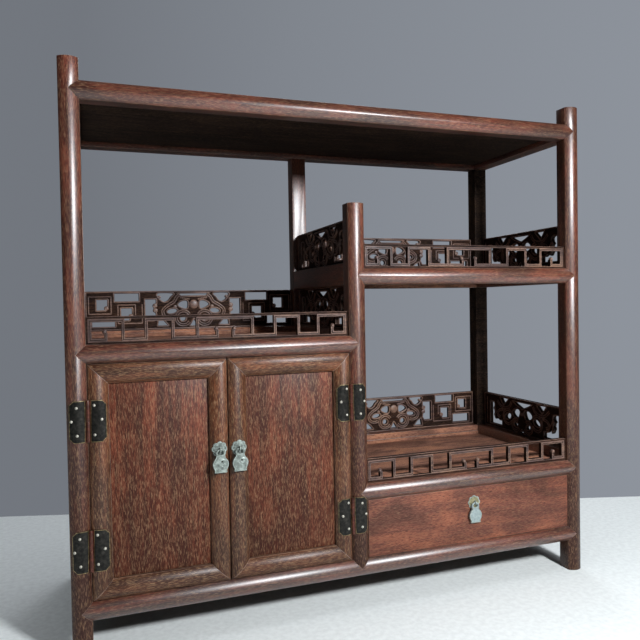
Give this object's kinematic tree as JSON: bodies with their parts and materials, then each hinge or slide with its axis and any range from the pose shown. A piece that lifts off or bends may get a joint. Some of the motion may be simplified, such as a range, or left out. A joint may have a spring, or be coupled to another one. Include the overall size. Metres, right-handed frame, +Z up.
{
  "type": "display cabinet",
  "caption": "Table-top Chinese display cabinet in dark rosewood with a cupboard, a drawer and open shelves behind low pierced galleries.",
  "frame": {"origin": "bottom centre of the cabinet's overall box, on the surface it stands on", "axes": "+X to the right along the front, front towards -Y, +Z up"},
  "size_m": [0.6, 0.2276, 0.575],
  "materials": {
    "rosewood": "satin",
    "panel_wood": "satin",
    "drawer_wood": "satin",
    "gallery_wood": "satin",
    "hinge_brass": "aged",
    "pull_metal": "aged",
    "drawer_pull_metal": "aged"
  },
  "bodies": {
    "cabinet": {"back_boards": "rosewood", "back_left_post": "rosewood", "back_middle_post": "rosewood", "back_right_post": "rosewood", "base_back_rail": "rosewood", "base_cross_rails": "rosewood", "base_front_rail": "rosewood", "case_floors": "rosewood", "divider_wall": "rosewood", "drawer_guides": "rosewood", "front_left_post": "rosewood", "front_middle_post": "rosewood", "front_right_post": "rosewood", "left_shelf_back_gallery": "gallery_wood", "left_shelf_back_rail": "rosewood", "left_shelf_board": "rosewood", "left_shelf_front_gallery": "gallery_wood", "left_shelf_front_rail": "rosewood", "left_shelf_left_gallery": "gallery_wood", "left_shelf_right_panel": "gallery_wood", "left_shelf_side_rails": "rosewood", "lower_shelf_back_gallery": "gallery_wood", "lower_shelf_back_rail": "rosewood", "lower_shelf_board": "rosewood", "lower_shelf_front_gallery": "gallery_wood", "lower_shelf_front_rail": "rosewood", "lower_shelf_ledger": "rosewood", "lower_shelf_right_gallery": "gallery_wood", "lower_shelf_side_rail": "rosewood", "side_walls": "rosewood", "top_back_rail": "rosewood", "top_board": "rosewood", "top_front_rail": "rosewood", "top_side_rails": "rosewood", "upper_shelf_back_gallery": "gallery_wood", "upper_shelf_back_rail": "rosewood", "upper_shelf_board": "rosewood", "upper_shelf_front_gallery": "gallery_wood", "upper_shelf_front_rail": "rosewood", "upper_shelf_left_gallery": "gallery_wood", "upper_shelf_right_gallery": "gallery_wood", "upper_shelf_side_rails": "rosewood", "left_hinge_post_leaves": "hinge_brass", "right_hinge_post_leaves": "hinge_brass", "hinge_pins": "hinge_brass"},
    "left_door": {"left_door_frame": "rosewood", "left_door_panel": "panel_wood", "left_hinge_door_leaves": "hinge_brass", "left_pull_plate": "pull_metal"},
    "right_door": {"right_door_frame": "rosewood", "right_door_panel": "panel_wood", "right_hinge_door_leaves": "hinge_brass", "right_pull_plate": "pull_metal"},
    "drawer": {"drawer_front": "drawer_wood", "drawer_box": "rosewood", "drawer_bottom": "rosewood", "drawer_pull_plate": "drawer_pull_metal"},
    "left_pendant": {"left_pendant": "pull_metal"},
    "right_pendant": {"right_pendant": "pull_metal"},
    "drawer_pendant": {"drawer_pendant": "drawer_pull_metal"}
  },
  "joints": [
    {"name": "left_door_hinge", "type": "hinge", "parent": "cabinet", "child": "left_door", "pos_m": [-0.2807, -0.10665, 0.17], "axis": [0, 0, -1], "range_deg": [0, 135]},
    {"name": "right_door_hinge", "type": "hinge", "parent": "cabinet", "child": "right_door", "pos_m": [-0.0098, -0.10665, 0.17], "axis": [0, 0, 1], "range_deg": [0, 95]},
    {"name": "drawer_slide", "type": "slide", "parent": "cabinet", "child": "drawer", "axis": [0, -1, 0], "range_m": [0, 0.13]},
    {"name": "left_pull_swing", "type": "hinge", "parent": "left_door", "child": "left_pendant", "pos_m": [-0.15535, -0.1112, 0.1925], "axis": [-1, 0, 0], "range_deg": [0, 85]},
    {"name": "right_pull_swing", "type": "hinge", "parent": "right_door", "child": "right_pendant", "pos_m": [-0.13515, -0.1112, 0.1925], "axis": [-1, 0, 0], "range_deg": [0, 85]},
    {"name": "drawer_pull_swing", "type": "hinge", "parent": "drawer", "child": "drawer_pendant", "pos_m": [0.14525, -0.1067, 0.1015], "axis": [-1, 0, 0], "range_deg": [0, 85]}
  ]
}
